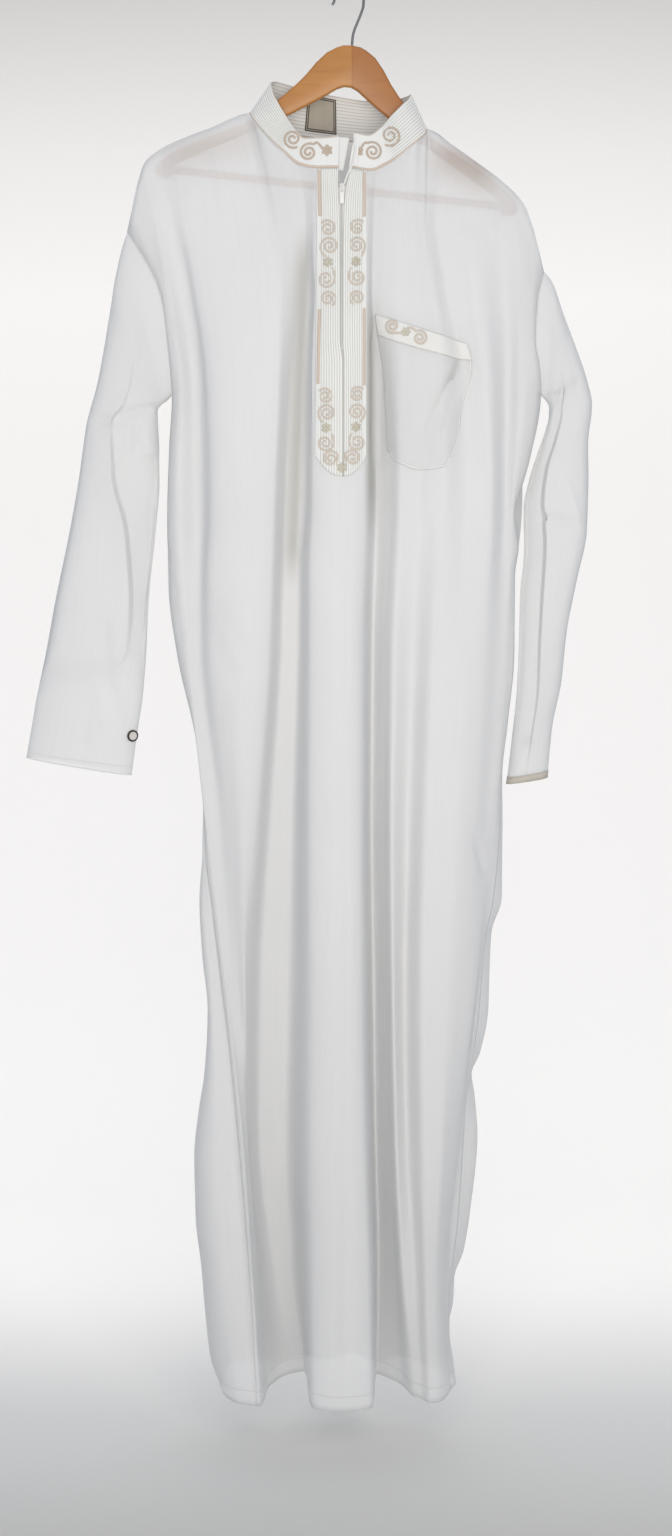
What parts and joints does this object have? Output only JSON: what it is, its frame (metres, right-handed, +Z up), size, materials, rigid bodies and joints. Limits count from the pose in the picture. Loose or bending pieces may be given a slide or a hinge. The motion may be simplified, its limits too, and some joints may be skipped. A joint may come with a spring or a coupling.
{
  "type": "thobe robe on a hanger",
  "caption": "Long robe with a standing collar, zipped placket, chest pocket and long sleeves, hanging on a wooden hanger with a trouser bar and a wire hook.",
  "frame": {"origin": "the inside top of the hook's bend, where a rail holds it", "axes": "+Z up, against the way it hangs; -Y the way the robe's front faces; +X towards the wearer's left"},
  "size_m": [0.668, 0.186, 1.6701],
  "materials": {
    "robe_cloth": "smooth light polyester weave, slightly sheer",
    "zip_tape": "white woven tape",
    "zip_metal": "white enamel",
    "label_cloth": "woven, bare",
    "button_plastic": "dark rim round a light face",
    "wood": "clear varnish on beech",
    "steel": "plain bright wire"
  },
  "bodies": {
    "robe_on_hanger": {"front_panel": "robe_cloth", "back_panel": "robe_cloth", "sleeve_right": "robe_cloth", "sleeve_left": "robe_cloth", "placket": "robe_cloth", "chest_pocket": "robe_cloth", "pocket_band": "robe_cloth", "collar_band": "robe_cloth", "zip_tape_right": "zip_tape", "zip_tape_left": "zip_tape", "zip_slider": "zip_metal", "neck_label": "label_cloth", "cuff_button_right": "button_plastic", "cuff_button_left": "button_plastic", "hanger_body": "wood", "hanger_bar": "wood", "hanger_hook": "steel"},
    "pull_tab": {"zip_pull": "zip_metal"}
  },
  "joints": [
    {"name": "pull_tab_hinge", "type": "hinge", "parent": "robe_on_hanger", "child": "pull_tab", "pos_m": [-0.00797, -0.0427, -0.22825], "axis": [-1, 0, 0], "range_deg": [0, 150]}
  ]
}
